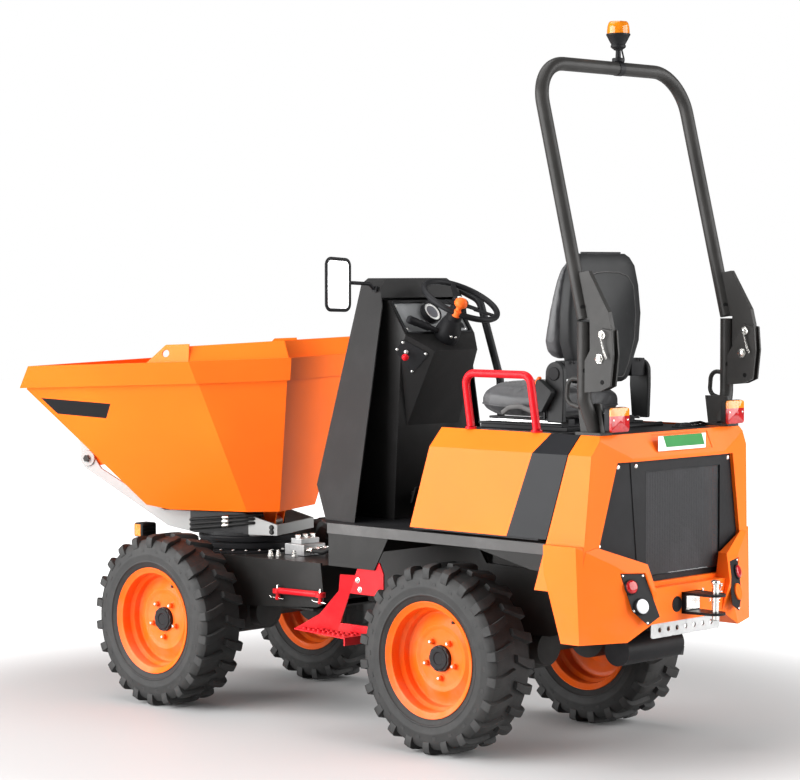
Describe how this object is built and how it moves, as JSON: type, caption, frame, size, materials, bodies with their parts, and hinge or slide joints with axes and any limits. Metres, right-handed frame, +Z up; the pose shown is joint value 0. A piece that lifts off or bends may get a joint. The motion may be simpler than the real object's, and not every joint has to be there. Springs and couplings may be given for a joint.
{
  "type": "articulated swivel-skip site dumper",
  "caption": "Small articulated site dumper with a swivelling, tipping skip in front, an open operator's place and a folding roll-over hoop behind the seat.",
  "frame": {"origin": "on the ground, below the middle of the machine's box as it stands; the machine's own centre line lies at Y = -0.111 m, because the skip stands swivelled to the left", "axes": "+X forward, +Y to the left, +Z up"},
  "size_m": [3.2877, 1.3092, 2.596],
  "materials": {
    "orange": "gloss",
    "black_paint": "satin",
    "hoop_paint": "satin",
    "light_grey": "satin",
    "red": "gloss",
    "tyre": "matte",
    "black_plastic": "matte",
    "lens": "gloss",
    "steel": "satin",
    "iron": "matte",
    "vinyl": "matte"
  },
  "bodies": {
    "rear_chassis": {"rear_frame": "light_grey", "rear_axle": "iron", "floor_plate": "black_paint", "sill_rails": "light_grey", "skirts": "black_paint", "side_panels": "orange", "hoop_posts": "hoop_paint", "tail_lamps": "lens", "step": "red", "engine_deck": "black_paint", "engine_block": "iron", "rear_hood": "orange", "grille": "orange", "rear_bumper": "black_paint", "tow_hitch": "black_paint", "muffler": "steel", "console_shell": "black_plastic", "console_body": "black_plastic", "steering_column": "black_plastic", "mirror": "black_plastic", "grab_post": "black_paint", "seat_base": "black_paint", "seat_cushion": "vinyl", "seat_back": "vinyl", "hand_rail": "red"},
    "front_chassis": {"front_frame": "light_grey", "front_axle": "iron", "articulation_lock": "red", "front_lamps": "black_plastic"},
    "carrier": {"skip_carrier": "light_grey"},
    "skip_tub": {"skip": "orange"},
    "tip_barrel": {"tip_ram_barrel": "black_paint"},
    "tip_rod": {"tip_ram_rod": "steel"},
    "hoop_frame": {"hoop": "hoop_paint", "beacon": "lens"},
    "lid": {"engine_lid": "black_paint"},
    "hand_wheel": {"steering_wheel": "black_plastic"},
    "front_left_wheel": {"front_left_tyre": "tyre", "front_left_rim": "orange"},
    "front_right_wheel": {"front_right_tyre": "tyre", "front_right_rim": "orange"},
    "rear_left_wheel": {"rear_left_tyre": "tyre", "rear_left_rim": "orange"},
    "rear_right_wheel": {"rear_right_tyre": "tyre", "rear_right_rim": "orange"}
  },
  "joints": [
    {"name": "articulation", "type": "hinge", "parent": "rear_chassis", "child": "front_chassis", "pos_m": [0, -0.111, 0.5], "axis": [0, 0, 1], "range_deg": [-33, 33]},
    {"name": "skip_slew", "type": "hinge", "parent": "front_chassis", "child": "carrier", "pos_m": [0.75, -0.111, 0.65], "axis": [0, 0, 1], "range_deg": [-111.5, 68.5]},
    {"name": "skip_tip", "type": "hinge", "parent": "carrier", "child": "skip_tub", "pos_m": [1.34547, 0.12356, 0.945], "axis": [-0.3665, 0.9304, 0], "range_deg": [0, 75]},
    {"name": "tip_ram_swing", "type": "hinge", "parent": "carrier", "child": "tip_barrel", "pos_m": [1.12217, 0.0356, 0.735], "axis": [-0.3665, 0.9304, 0], "range_deg": [0, 88]},
    {"name": "tip_ram_stroke", "type": "slide", "parent": "tip_barrel", "child": "tip_rod", "axis": [-0.9275, -0.3654, -0.0786], "range_m": [0, 0.36]},
    {"name": "hoop_fold", "type": "hinge", "parent": "rear_chassis", "child": "hoop_frame", "pos_m": [-1.434, -0.111, 1.417], "axis": [0, 1, 0], "range_deg": [-110, 0]},
    {"name": "lid_hinge", "type": "hinge", "parent": "rear_chassis", "child": "lid", "pos_m": [-1.2, -0.111, 1.161], "axis": [0, 1, 0], "range_deg": [0, 75]},
    {"name": "steering", "type": "hinge", "parent": "rear_chassis", "child": "hand_wheel", "pos_m": [-0.424, -0.111, 1.601], "axis": [-0.4848, 0, 0.8746], "continuous": true},
    {"name": "front_left_wheel_spin", "type": "hinge", "parent": "front_chassis", "child": "front_left_wheel", "pos_m": [0.7435, 0.321, 0.338], "axis": [0, 1, 0], "continuous": true},
    {"name": "front_right_wheel_spin", "type": "hinge", "parent": "front_chassis", "child": "front_right_wheel", "pos_m": [0.7435, -0.543, 0.338], "axis": [0, 1, 0], "continuous": true},
    {"name": "rear_left_wheel_spin", "type": "hinge", "parent": "rear_chassis", "child": "rear_left_wheel", "pos_m": [-0.7435, 0.321, 0.338], "axis": [0, 1, 0], "continuous": true},
    {"name": "rear_right_wheel_spin", "type": "hinge", "parent": "rear_chassis", "child": "rear_right_wheel", "pos_m": [-0.7435, -0.543, 0.338], "axis": [0, 1, 0], "continuous": true}
  ],
  "couplings": [
    {"joint": "tip_ram_swing", "follows": "skip_tip", "ratio": 1.115},
    {"joint": "tip_ram_stroke", "follows": "skip_tip", "m_per_rad": 0.264}
  ]
}
